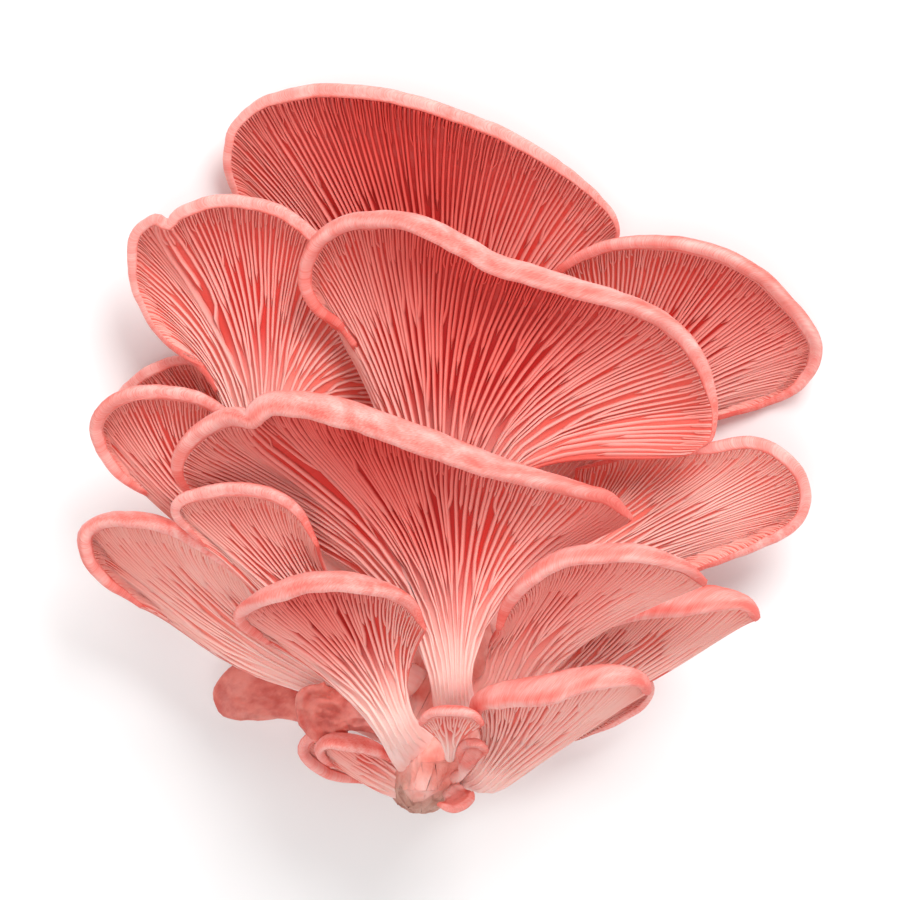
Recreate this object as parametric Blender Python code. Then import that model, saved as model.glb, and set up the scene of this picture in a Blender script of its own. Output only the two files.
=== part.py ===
"""Oyster mushroom cluster: gilled half-funnel caps that fan out from one small base.

The cluster lies on its back with its gills up. Lengths are in millimetres and the meshes in metres.
X runs across the cluster, Y from the base to the crown and Z up from the table.
"""

import math
from dataclasses import dataclass

import bmesh
import bpy
import numpy as np

MM = 0.001
GAP = 0.35  # air between a stem and the base or flesh that it grows against

STEM_ROWS = 2  # mesh rows from a mushroom's foot to its neck
ROLL_ROWS = (0.0, 0.33, 0.67)  # rows along the rolled lip, as shares of it
ROUND_ROWS = (1.0, 0.45, 0.0)  # rows round the cap's edge, in half-thicknesses from it
SHORTEST_ROLL = 1.5
ROLL_STEPS = 12  # points along the arc of a rolled lip
ROLL_FROM = math.radians(62)  # the slope that a lip starts rolling over from
SPLAY = 0.25  # how far the sides of a cap turn out at its neck
EDGE_TURN = 0.65  # how far a cap's lines turn to meet its edge squarely
STEM_HOLD = 0.35  # how far a stem keeps its direction at each end, as a share of its length
NECK_BLEND = (-0.2, 0.55)  # between these shares of the way up, the round stem turns into the flat cap
THIN_END = 0.5  # thickness of a cap at the ends of its edge, as a share of its full thickness
SIDE_CROWDING = 1.35  # above 1, the mesh columns lie closer together at a cap's two sides
SPINE_STEPS = 48  # points in each line that the rows are spaced along
SPAN_STEPS = 12  # points between two given points of a margin

PALE_PINK = (0.86, 0.42, 0.36)
SALMON = (0.80, 0.28, 0.22)
DULL_PINK = (0.66, 0.25, 0.20)
TAN_PINK = (0.60, 0.31, 0.24)
FLESH_ROUGHNESS = 0.6


@dataclass
class Mushroom:
    """One cap with its stem. Points are (x, y, z); the margin runs clockwise as seen from above."""

    name: str
    colour: tuple
    foot: tuple  # the root of the stem, inside the base
    neck: tuple  # where the gills meet
    heading: tuple  # the way the cap grows from its neck
    stem: tuple  # half-width at the foot, half-width at the neck, half-depth
    margin: tuple  # points along the cap's edge
    lip: tuple  # degrees that the edge points up by at its left end, middle and right end
    bend: tuple = (0.35, 0.3)  # how far neck and lip keep their direction, as shares of the distance
    flesh: float = 3.6  # thickness of the cap
    curl: float = 2.5  # radius that the lip rolls over with
    cells: tuple = (12, 5)  # mesh columns round the cap and rows from its neck to its edge


MUSHROOMS = (
    Mushroom(
        "crown_mushroom", SALMON, foot=(0, -26, 10), neck=(-2, 0, 8), heading=(-0.05, 1, 0),
        stem=(5, 8, 3.5), lip=(15, 95, 15), bend=(0.4, 0.24), flesh=3.2, curl=2, cells=(16, 6),
        margin=((-38, 35, 3.6), (-45, 50, 4.4), (-47.7, 61.5, 8.5), (-43, 71.2, 15), (-29, 75.4, 21),
                (-12, 74, 25), (3, 69.3, 25.5), (16, 63.8, 23), (27, 57, 18), (35.6, 48.5, 11),
                (34.8, 42, 6), (26, 30, 3)),
    ),
    Mushroom(
        "upper_right_mushroom", SALMON, foot=(7, -28, 19), neck=(30, 2, 15), heading=(0.7, 0.7, 0),
        stem=(4.5, 7, 3.5), lip=(75, 135, 0), bend=(0.4, 0.26), flesh=3.2, curl=2.6, cells=(14, 5),
        margin=((19, 33, 20), (28, 40, 24), (40, 43, 27), (52, 41.7, 28), (62.5, 37.4, 26),
                (71.6, 30.2, 19), (77.8, 21.5, 11), (74.8, 13, 5), (67.5, 9, 3.5), (57, 6, 5)),
    ),
    Mushroom(
        "upper_left_mushroom", SALMON, foot=(-6, -32, 22), neck=(-40, 4, 21), heading=(0, 1, 0),
        stem=(4.5, 7, 3.5), lip=(5, 90, 50), bend=(0.45, 0.26), flesh=3, curl=2.2, cells=(14, 5),
        margin=((-52.5, 17.5, 19), (-61.5, 23, 17), (-66.8, 32.5, 17), (-67, 43.5, 21), (-62.6, 48, 26),
                (-59.7, 47, 27.5), (-57, 49.5, 29), (-48, 52, 31), (-36, 49.3, 32), (-28, 43, 29),
                (-19.5, 32, 22), (-14.5, 21, 19), (-12.5, 8, 17)),
    ),
    Mushroom(
        "great_mushroom", SALMON, foot=(2, -34, 32), neck=(0, -15, 34), heading=(0, 1, -0.1),
        stem=(5, 9, 4), lip=(45, 170, 0), bend=(0.42, 0.28), flesh=3.8, curl=3.4, cells=(18, 6),
        margin=((-20, 21.5, 28), (-23.5, 26, 27.5), (-28.3, 29.2, 28.5), (-30.4, 35.5, 31.5), (-27, 43, 36),
                (-19, 47, 41), (-5, 45.5, 47), (10, 38, 50), (25, 33.2, 50), (39, 29, 47), (49, 22.3, 43),
                (55.2, 11, 40), (55.2, 2, 39), (50, -2, 37)),
    ),
    Mushroom(
        "front_mushroom", SALMON, foot=(1, -55, 42), neck=(0, -46, 53), heading=(-0.05, 1, 0),
        stem=(4.5, 5, 4.5), lip=(45, 172, 60), bend=(0.48, 0.3), flesh=4.4, curl=4.6, cells=(18, 6),
        margin=((-53, -12, 46), (-56.8, -5.5, 50), (-54, 1, 54), (-47, 5.6, 58), (-41.6, 5.6, 60.5),
                (-39.8, 7, 62), (-36, 8.8, 63.5), (-24, 7.6, 67), (-8, 2, 69), (8, -4.2, 69),
                (24, -8.9, 66), (32.6, -11.4, 62), (38, -15.4, 55)),
    ),
    Mushroom(
        "mid_right_mushroom", PALE_PINK, foot=(8, -38, 26), neck=(24, -28, 25), heading=(0.85, 0.5, 0),
        stem=(4, 6, 3.5), lip=(30, 88, 0), bend=(0.4, 0.28), flesh=3, curl=2.2, cells=(12, 5),
        margin=((26.5, -5, 24), (42, -1.2, 27), (54, -0.5, 30), (65, 0.6, 29), (73.8, -5.3, 25),
                (75.2, -13.5, 20), (69.5, -19.5, 17), (58, -24.5, 17), (48, -28, 19)),
    ),
    Mushroom(
        "right_mushroom", SALMON, foot=(6, -53, 38), neck=(13, -48, 44), heading=(0.35, 0.9, 0.5),
        stem=(3.5, 6, 3.5), lip=(70, 160, 100), bend=(0.42, 0.3), flesh=3.4, curl=3.6, cells=(12, 5),
        margin=((10, -38.5, 59), (13.5, -31, 64), (19.5, -25, 67), (27, -22.3, 69), (37.5, -22.2, 68),
                (47.2, -24.8, 63), (53, -29, 56)),
    ),
    Mushroom(
        "inner_left_mushroom", DULL_PINK, foot=(-7, -50, 42), neck=(-27, -36, 48), heading=(-0.6, 0.8, 0),
        stem=(3.5, 5, 3), lip=(30, 115, 50), bend=(0.4, 0.28), flesh=2.8, curl=2.2, cells=(10, 4),
        margin=((-51.5, -21, 48), (-57.2, -14.5, 51.5), (-55, -11, 54), (-46, -8.8, 58), (-37, -10.3, 59.5),
                (-31.5, -14, 59), (-27.5, -21, 56)),
    ),
    Mushroom(
        "front_left_mushroom", SALMON, foot=(-6, -65, 41), neck=(-13, -55, 57), heading=(-0.4, 0.9, 0.15),
        stem=(6, 5, 3.6), lip=(45, 165, 50), bend=(0.4, 0.3), flesh=3.4, curl=4, cells=(12, 5),
        margin=((-38, -41, 57), (-43.5, -36, 61), (-40, -32.3, 66), (-33, -29, 71), (-25.5, -27.9, 74.5),
                (-17.5, -28.8, 75), (-9.8, -31.8, 73), (-4.8, -38, 68)),
    ),
    Mushroom(
        "left_mushroom", DULL_PINK, foot=(-9, -44, 26), neck=(-46, -18, 27), heading=(-0.85, 0.5, 0),
        stem=(3.5, 5, 3), lip=(20, 118, 45), bend=(0.4, 0.28), flesh=3, curl=2.4, cells=(10, 4),
        margin=((-61, -13, 24), (-70, -6, 27), (-74.2, 1, 31), (-73.8, 6.5, 34), (-68.5, 10.3, 38),
                (-60, 11.3, 40), (-48, 7.6, 38.5), (-40, -2, 34)),
    ),
    Mushroom(
        "back_left_mushroom", DULL_PINK, foot=(-8, -38, 14), neck=(-46, -4, 9), heading=(-0.6, 0.8, 0),
        stem=(3.5, 5, 3), lip=(20, 80, 30), flesh=2.8, curl=2, cells=(10, 4),
        margin=((-64, 0, 2), (-70.5, 9, 3), (-66, 14.6, 8), (-57.5, 18.2, 11), (-51, 17, 10), (-45, 10, 8)),
    ),
    Mushroom(
        "lower_left_mushroom", DULL_PINK, foot=(-9, -58, 30), neck=(-34, -46, 30), heading=(-0.85, 0.5, 0),
        stem=(3.5, 5, 3), lip=(40, 150, 120), bend=(0.4, 0.3), flesh=3, curl=3.6, cells=(12, 5),
        margin=((-65, -34, 25), (-73.5, -27.5, 26), (-77, -21.5, 29), (-75.6, -17.4, 31), (-69, -15.6, 34),
                (-60, -17.2, 38), (-52, -21, 40), (-44.5, -26.5, 38.5), (-40, -32, 38)),
    ),
    Mushroom(
        "lower_right_mushroom", SALMON, foot=(8, -55, 28), neck=(24, -52, 29), heading=(0.85, 0.5, 0),
        stem=(3.5, 5.5, 3), lip=(130, 176, 120), bend=(0.4, 0.3), flesh=3, curl=5.6, cells=(12, 5),
        margin=((26, -39.5, 33), (36, -34, 35), (46, -31.8, 36), (55.5, -31.4, 36), (61.8, -33.2, 34.5),
                (64.2, -37, 31)),
    ),
    Mushroom(
        "front_right_mushroom", PALE_PINK, foot=(4, -69.5, 38), neck=(9.5, -67.5, 49),
        heading=(0.6, 0.75, 0.35), stem=(3.2, 4.8, 3.2), lip=(125, 178, 120), flesh=3.4, curl=5,
        cells=(14, 5),
        margin=((5, -57, 57), (6, -52.8, 62), (12, -50.5, 68), (20, -49.2, 73.5), (28, -47.4, 74.5),
                (33.5, -46.8, 73), (39, -48.4, 69), (40.8, -51.5, 64)),
    ),
    Mushroom(
        "lower_right_back_mushroom", SALMON, foot=(6, -64, 24), neck=(18, -61, 19), heading=(0.9, 0.3, 0),
        stem=(3, 4, 3), lip=(10, 45, 5), flesh=2.6, curl=2, cells=(10, 4),
        margin=((26, -50, 14), (36, -47, 18), (43, -50, 18), (42, -55, 15), (34, -60, 13), (26, -63, 13)),
    ),
    Mushroom(
        "smooth_lobe", DULL_PINK, foot=(-10, -62, 18), neck=(-26, -55, 16), heading=(-0.9, 0.2, 0.3),
        stem=(3, 4.5, 3), lip=(-20, -50, -20), flesh=3, curl=2.5, cells=(10, 4),
        margin=((-35, -57, 13), (-42, -58, 12), (-48, -57, 11), (-50, -53, 12), (-48.6, -49.4, 14),
                (-43, -45.8, 16), (-34, -47, 18)),
    ),
    Mushroom(
        "crumpled_bud", DULL_PINK, foot=(-10, -60, 36), neck=(-20, -56.5, 38), heading=(-0.9, 0.3, 0.1),
        stem=(2.5, 3.4, 2.5), lip=(20, 60, 30), flesh=2.6, curl=1.6, cells=(8, 4),
        margin=((-21, -63, 37), (-28.5, -61.6, 39), (-31.6, -55.5, 40), (-31, -51.6, 41), (-26, -50, 42)),
    ),
    Mushroom(
        "low_left_mushroom", PALE_PINK, foot=(-5, -71.5, 31), neck=(-10.5, -71, 36),
        heading=(-0.75, 0.5, 0.4), stem=(3, 3.5, 3), lip=(60, 165, 120), bend=(0.35, 0.35),
        flesh=2.4, curl=3.4, cells=(10, 4),
        margin=((-25, -67.5, 37), (-27.3, -64, 39), (-25.5, -61.8, 41), (-20.5, -62, 41),
                (-15.5, -63.8, 39), (-12, -66.5, 37)),
    ),
    Mushroom(
        "low_left_back_mushroom", DULL_PINK, foot=(-6, -71, 26), neck=(-13, -69, 28),
        heading=(-0.9, 0.3, 0.1), stem=(3, 3.5, 3), lip=(60, 120, 80), flesh=2.4, curl=2, cells=(10, 4),
        margin=((-18, -71, 27), (-26, -69, 28), (-30.6, -65, 31), (-29, -61.5, 34), (-22, -61, 35)),
    ),
    Mushroom(
        "baby_mushroom", PALE_PINK, foot=(0, -64.5, 44), neck=(0, -62.5, 60), heading=(0, 0.6, 0.8),
        stem=(1.6, 1.6, 1.6), lip=(90, 150, 90), flesh=2.2, curl=1.8, cells=(10, 4),
        margin=((-6.2, -58, 67), (-4, -55.6, 69), (0, -54.9, 70), (4.4, -55.6, 70), (6.8, -58, 69)),
    ),
    Mushroom(
        "button", PALE_PINK, foot=(0.5, -69.5, 44), neck=(3, -67, 58), heading=(0.2, 0.6, 0.8),
        stem=(1.3, 1.3, 1.3), lip=(90, 150, 90), flesh=2.2, curl=1.2, cells=(8, 4),
        margin=((1.8, -64.4, 61), (3, -62.4, 62), (5, -62, 63), (6.8, -62.8, 63), (7.4, -64.2, 62)),
    ),
    Mushroom(
        "torn_flap", TAN_PINK, foot=(0.5, -71.5, 38), neck=(1, -73, 45), heading=(0.4, -0.6, 0.5),
        stem=(2, 2.5, 1.6), lip=(60, 100, 60), flesh=2, curl=1.2, cells=(8, 4),
        margin=((5, -72, 49), (4.5, -74, 50), (1, -76, 50), (-3, -75, 49)),
    ),
)


def unit(a):
    return a / np.linalg.norm(a, axis=-1, keepdims=True)


def smooth_step(low, high, x):
    t = np.clip((x - low) / (high - low), 0, 1)
    return t * t * (3 - 2 * t)


def curve_through(points, at):
    """A smooth curve through the points, read at shares of its length from 0 to 1."""
    p = np.asarray(points, float)
    p = np.vstack([2 * p[0] - p[1], p, 2 * p[-1] - p[-2]])
    t = np.linspace(0, 1, SPAN_STEPS, endpoint=False)[:, None]
    dense = [
        0.5 * (2 * b + (c - a) * t + (2 * a - 5 * b + 4 * c - d) * t**2 + (3 * b - 3 * c + d - a) * t**3)
        for a, b, c, d in zip(p, p[1:], p[2:], p[3:])
    ]
    return along(np.vstack(dense + [p[-2:-1]]), at)


def along(line, at):
    """Points on a polyline at shares of its length."""
    run = np.concatenate([[0], np.cumsum(np.linalg.norm(np.diff(line, axis=0), axis=1))])
    return np.stack([np.interp(np.asarray(at) * run[-1], run, line[:, k]) for k in range(3)], axis=-1)


def bezier(a, b, c, d, steps=SPINE_STEPS):
    t = np.linspace(0, 1, steps)[:, None]
    return a * (1 - t) ** 3 + 3 * b * t * (1 - t) ** 2 + 3 * c * t**2 * (1 - t) + d * t**3


def length_of(line):
    return float(np.linalg.norm(np.diff(line, axis=0), axis=1).sum())


def middle_share(across, power=2.5):
    """1 in the middle of a cap's edge, falling to 0 at its two ends."""
    return 1 - abs(2 * np.asarray(across) - 1) ** power


def ribs(m, across):
    """For each share across: a line up the stem, a line up the cap, and the length of its rolled lip."""
    foot, neck, heading = np.array(m.foot, float), np.array(m.neck, float), unit(np.array(m.heading, float))
    up = np.array((0.0, 0.0, 1.0))
    root_way = unit(neck - foot)
    neck_side = unit(np.cross(heading, up))
    foot_side = unit(neck_side - root_way * (neck_side @ root_way))
    edge = curve_through(m.margin, across)
    square = unit(np.cross(up, np.gradient(edge, axis=0)))  # level and square to the edge, outwards
    level = middle_share(across, 2.2)
    stems, caps, rolls = [], [], []
    for k, (u, tip) in enumerate(zip(across, edge)):
        s = 2 * u - 1
        low, high = foot + foot_side * s * m.stem[0], neck + neck_side * s * m.stem[1]
        way_up = unit(heading + neck_side * s * SPLAY)
        arm = STEM_HOLD * np.linalg.norm(high - low)
        stems.append(bezier(low, low + root_way * arm, high - way_up * arm, high))
        out = tip - neck
        out[2] = 0
        turn = EDGE_TURN * (1 - abs(s) ** 6)
        out = unit((1 - turn) * unit(out) + turn * square[k])
        last = math.radians(level[k] * m.lip[1] + (1 - level[k]) * m.lip[0 if s < 0 else 2])
        first = min(last, ROLL_FROM)
        way = out * math.cos(first) + up * math.sin(first)
        far = np.linalg.norm(tip - high)
        cap = bezier(high, high + way_up * far * m.bend[0], tip - way * far * m.bend[1], tip)
        bent = np.linspace(first, last, ROLL_STEPS + 1)[1:, None]
        roll = out * (np.sin(bent) - math.sin(first)) + up * (math.cos(first) - np.cos(bent))
        caps.append(np.vstack([cap, tip + m.curl * roll]) if last > first else cap)
        rolls.append(m.curl * (last - first))
    return stems, caps, np.array(rolls)


def columns(count):
    """Shares across a cap, closer together at its two sides."""
    s = np.linspace(-1, 1, count + 1)
    return 0.5 + 0.5 * np.sign(s) * (1 - (1 - abs(s)) ** SIDE_CROWDING)


def flesh_half(m, across):
    """Half the thickness of the cap, which thins towards the two ends of its edge."""
    return m.flesh / 2 * (THIN_END + (1 - THIN_END) * middle_share(across))


def middle_grid(m, across):
    """Points of the middle surface by column and row, how far up each is, and its distance from the edge.

    How far up is -1 at the foot, 0 at the neck and 1 at the edge.
    """
    stem_rows = np.linspace(-1, 0, STEM_ROWS + 1)[:-1]
    cap_rows = np.linspace(0, 1, m.cells[1] + 1)[:-1]
    grid, reach, inset = [], [], []
    for stem, cap, roll, half in zip(*ribs(m, across), flesh_half(m, across)):
        length = length_of(cap)
        last = 1 - np.array(ROUND_ROWS) * half / length
        start = min(1 - roll / length, last[0] - SHORTEST_ROLL / length)
        shares = np.concatenate([cap_rows * start, start + (last[0] - start) * np.array(ROLL_ROWS), last])
        grid.append(np.vstack([along(stem, 1 + stem_rows), along(cap, shares)]))
        reach.append(np.concatenate([stem_rows, shares]))
        inset.append(length * (1 - np.maximum(reach[-1], 0)))
    return np.array(grid), np.array(reach), np.array(inset)


def half_depth(m, grid, reach, inset, across):
    """Half the thickness at each grid point: a round stem that thins into an even, round-edged cap."""
    beside = np.minimum(np.linalg.norm(grid - grid[:1], axis=2), np.linalg.norm(grid - grid[-1:], axis=2))
    full = flesh_half(m, across)[:, None]
    edge = 1 - (1 - np.clip(np.minimum(inset, beside) / full, 0, 1)) ** 2
    stem = m.stem[2] * np.sqrt(1 - (2 * across - 1) ** 2)[:, None]
    share = smooth_step(*NECK_BLEND, reach)
    return full * np.sqrt(edge) * share + stem * (1 - share)


def cap_mesh(m):
    """The closed body of one mushroom."""
    across = columns(m.cells[0])
    grid, reach, inset = middle_grid(m, across)
    facing = unit(np.cross(np.gradient(grid, axis=0), np.gradient(grid, axis=1)))
    depth = half_depth(m, grid, reach, inset, across)[..., None]
    front, back = grid + facing * depth, grid - facing * depth
    bm = bmesh.new()
    cols, rows = grid.shape[:2]

    def on_rim(i, j):
        return i in (0, cols - 1) or j == rows - 1

    def vert(p):
        return bm.verts.new((p[0] * MM, p[1] * MM, max(p[2], 0) * MM))

    near = [[vert(grid[i, j] if on_rim(i, j) else front[i, j]) for j in range(rows)] for i in range(cols)]
    far = [[near[i][j] if on_rim(i, j) else vert(back[i, j]) for j in range(rows)] for i in range(cols)]
    for i in range(cols - 1):
        for j in range(rows - 1):
            bm.faces.new((near[i][j], near[i + 1][j], near[i + 1][j + 1], near[i][j + 1]))
            bm.faces.new((far[i][j + 1], far[i + 1][j + 1], far[i + 1][j], far[i][j]))
    ring = [near[i][0] for i in range(cols)] + [far[i][0] for i in range(cols - 2, 0, -1)]
    bm.faces.new(ring[::-1])
    return bm


# the base, as level rings from its cut end to the tip between the stems: y, middle x and z, half-sizes
BASE_RINGS = (
    (-77, -6, 32, 2.5, 8), (-75.5, -6, 31, 5.5, 14), (-72, -5, 28, 8.5, 22), (-66, -3, 24, 10, 28.5),
    (-59, -2, 23, 10.5, 27), (-50, -1, 22, 10, 23.5), (-42, 0, 22, 9.5, 19), (-34, 1, 21, 9, 17),
    (-27, 1, 19, 7, 13), (-23, 1, 18, 3, 6),
)
BASE_SIDES = 20
CORNER_SHARE = 1.3  # how far a corner moves for its faces to move by one


def base_mesh(gap=0.0):
    """The shared base: a lumpy, tapering core with a flat back. A gap makes it larger all round."""
    bm = bmesh.new()
    rings = []
    for k, (y, x, z, wide, deep) in enumerate(BASE_RINGS):
        ring = []
        for s in range(BASE_SIDES):
            a = math.tau * s / BASE_SIDES
            lump = 1 + 0.05 * math.sin(3 * a + 1.3 * k) + 0.04 * math.sin(5 * a - 0.9 * k)
            height = max(z + deep * lump * math.sin(a), 0)
            ring.append(bm.verts.new(((x + wide * lump * math.cos(a)) * MM, y * MM, height * MM)))
        rings.append(ring)
    for low, high in zip(rings, rings[1:]):
        for s in range(BASE_SIDES):
            t = (s + 1) % BASE_SIDES
            bm.faces.new((low[s], high[s], high[t], low[t]))
    bm.faces.new(rings[0])
    bm.faces.new(rings[-1][::-1])
    bmesh.ops.recalc_face_normals(bm, faces=bm.faces)
    bmesh.ops.triangulate(bm, faces=bm.faces)
    bm.normal_update()
    for v, way in [(v, v.normal.copy()) for v in bm.verts]:
        v.co += way * gap * MM * CORNER_SHARE
    return bm


def flesh_material(name, colour):
    mat = bpy.data.materials.new(name)
    mat.use_nodes = True
    shader = mat.node_tree.nodes["Principled BSDF"]
    shader.inputs["Base Color"].default_value = (*colour, 1)
    shader.inputs["Roughness"].default_value = FLESH_ROUGHNESS
    shader.inputs["Metallic"].default_value = 0
    return mat


def add_object(name, bm, colour):
    bmesh.ops.recalc_face_normals(bm, faces=bm.faces)
    mesh = bpy.data.meshes.new(name)
    bm.to_mesh(mesh)
    bm.free()
    mesh.shade_smooth()
    obj = bpy.data.objects.new(name, mesh)
    obj.data.materials.append(flesh_material(name + "_flesh", colour))
    bpy.context.scene.collection.objects.link(obj)
    return obj


def add_cutter(name, bm):
    cutter = add_object(name, bm, TAN_PINK)
    cutter.hide_render = True
    cutter.display_type = "WIRE"
    return cutter


def cut_away(obj, cutter):
    cut = obj.modifiers.new("clear_" + cutter.name, "BOOLEAN")
    cut.operation = "DIFFERENCE"
    cut.solver = "EXACT"
    cut.object = cutter


def main():
    for obj in list(bpy.data.objects):
        bpy.data.objects.remove(obj)
    add_object("base", base_mesh(), TAN_PINK)
    core = add_cutter("base_with_gap", base_mesh(GAP))
    for m in MUSHROOMS:
        cut_away(add_object(m.name, cap_mesh(m), m.colour), core)


main()
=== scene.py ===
"""Oyster mushroom cluster: fine flesh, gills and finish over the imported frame.

The cluster lies on its back with its gills up. Each mushroom is one closed body of flesh, and its gills
are closed blades that a Geometry Nodes tree stands along the body. Lengths are in millimetres until a
mesh is made.
"""

import math
from dataclasses import dataclass

import bmesh
import bpy
import numpy as np
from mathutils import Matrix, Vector, noise


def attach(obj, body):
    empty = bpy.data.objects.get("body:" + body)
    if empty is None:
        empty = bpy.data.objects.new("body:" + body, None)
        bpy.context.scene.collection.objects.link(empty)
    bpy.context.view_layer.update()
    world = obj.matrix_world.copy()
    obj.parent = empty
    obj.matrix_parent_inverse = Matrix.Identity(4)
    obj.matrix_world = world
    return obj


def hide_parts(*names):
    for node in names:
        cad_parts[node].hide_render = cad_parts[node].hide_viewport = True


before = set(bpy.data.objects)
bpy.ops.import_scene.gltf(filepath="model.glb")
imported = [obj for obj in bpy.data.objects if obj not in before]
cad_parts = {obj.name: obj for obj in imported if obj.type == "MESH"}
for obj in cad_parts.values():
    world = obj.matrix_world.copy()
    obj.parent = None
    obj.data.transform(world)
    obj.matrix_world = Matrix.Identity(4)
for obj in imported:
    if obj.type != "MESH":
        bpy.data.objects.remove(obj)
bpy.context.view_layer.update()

MM = 0.001
SPINE_STEPS = 96  # points in each line that the rows are spaced along
SPAN_STEPS = 24  # points between two given points of a margin
STEM_ROWS = 18  # mesh rows from a mushroom's foot to its neck
EDGE_INSETS = (1.0, 0.72, 0.48, 0.28, 0.13, 0.04, 0.0)  # rows round the edge, in half-thicknesses
COLUMN_WIDTH = 1.1  # of the flesh, along the cap's edge
ROW_DEPTH = 1.0  # of the flesh, from the neck to the edge
GILL_PITCH = (0.36, 0.0025)  # between gills at the edge: at least this, and more by the edge's length
GILL_STEPS = 13  # lengths that each gill is made of
LIP_BAND = 0.5  # how far the gills stop short of the rolled lip
ROLL_FROM = math.radians(62)  # the slope that a lip starts rolling over from
ROLL_STEPS = 12  # points along the arc of a rolled lip
SPLAY = 0.25  # how far the sides of a cap turn out at its neck
EDGE_TURN = 0.65  # how far a cap's lines turn to meet its edge squarely
STEM_HOLD = 0.35  # how far a stem keeps its direction at each end, as a share of its length
NECK_BLEND = (-0.2, 0.55)  # between these shares of the way up, the round stem turns into the flat cap
THIN_END = 0.5  # thickness of a cap at the ends of its edge, as a share of its full thickness
SIDE_CROWDING = 1.25  # above 1, the mesh columns lie closer together at a cap's two sides
SWAY, LIFT, NICK = 0.7, 1.1, 0.25  # how far an edge wanders outwards, up, and in small nicks
SWAY_RUN, LIFT_RUN, NICK_RUN = 17, 11, 4.5  # how long each of those waves is
LIP_SWAY = 0.16  # how much the slope of a lip varies, in radians
GILL_START = -0.75  # where the first gills begin on the stem, in stem lengths from the neck
GILL_BREADTH = 0.8  # of a gill at its root, as a share of the distance to the next
GILL_FULL = 0.35  # from this share of the way up, gills have their full depth
GILL_SHALLOWING = 0.35  # how much of it they lose again towards the edge
END_FADE, SIDE_FADE = 0.6, 0.9  # over which distance gills fade at the lip and at a cap's sides
GILL_ROOT = 0.5  # how far a gill reaches down into the flesh
# every 2nd gill, every 4th and so on, and the shares of the way up their bed where such gills start
GILL_RANKS = ((2, 0.7, 0.84), (4, 0.54, 0.68), (8, 0.4, 0.54), (16, 0.0, 0.16))
SHORTEST_GILLS = (0.9, 0.97)  # where all the others start
SHORT_SLIMMING = 0.45  # how much narrower those are
GILL_END = 0.997  # where every gill ends
GILL_JITTER = 0.28  # how far a gill stands off its even place, in distances between gills
GILL_DRIFT = 1.1  # how far it wanders on its way, in the same measure
GILL_RIPPLE = (0.23, 9.0)  # how fast that wander changes, from gill to gill and along a gill
LEANING = 0.35  # share of the gills that join a neighbour at their start
JOIN_END, JOIN_SHARE = 0.3, 0.95  # how far along they do, and how close they come
BLADE_CROWDING = 1.5  # above 1, a gill's steps lie closer together at its far end
BLADE_TAPER = (0.1, 0.15)  # a gill grows over this share of its length, from this share of its size
BED_MARGIN = 0.004  # how far the gills stay from the sides of their bed, as a share of its width
HALVINGS, HALVING_END = 3.0, 0.85  # how often gills halve in number towards the stem, and from where
GILL_WIDEST = 1.9  # distance between gills, beyond which they grow no broader
GILL_TALL = (0.82, 1.05)  # heights of single gills, as shares of the depth there
CREST_NARROWING = 0.8  # how much narrower a gill is at its crest than at its root
BED_ROWS = 46  # rows of the patch that the gills stand on
BED_COLUMN = 1.2  # width of its columns, along the cap's edge
LOWEST = 0.05  # no flesh lies lower than this
CREASE_SHARPNESS = 2.4  # how steeply the flesh falls into a crease
CREASE_SIZE = (3.2, 1.7, 3)  # of the creases in flesh that never opened, along x, y and z
# Gills are reddest and darkest up a cap's middle: partly their own red, partly painted shade under the
# overhanging lip.
CAP_MIDDLE = 0.49  # where across a cap its gills are reddest


@dataclass
class Mushroom:
    """One cap with its stem. Points are (x, y, z); the margin runs clockwise as seen from above."""

    name: str
    # The next field gives the redness between the gills, deepened with painted shade, or how dark the skin of
    # a piece with no gills is, also partly painted shade.
    blush_and_shade: float  # redness between the gills, or of the skin where there are none, 0 to 1
    foot: tuple  # the root of the stem, inside the base
    neck: tuple  # where the gills meet
    heading: tuple  # the way the cap grows from its neck
    stem: tuple  # half-width at the foot, half-width at the neck, half-depth
    margin: tuple  # points along the cap's edge
    lip: tuple  # degrees that the edge points up by at its left end, middle and right end
    bend: tuple = (0.35, 0.3)  # how far neck and lip keep their direction, as shares of the distance
    flesh: float = 3.6  # thickness of the cap
    curl: float = 2.5  # radius that the lip rolls over with
    wave: float = 0.7  # how far the edge wanders
    crumple: float = 0.0  # depth of its creases
    gill_depth: float = 0.95  # 0 for a piece with no gills


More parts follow.
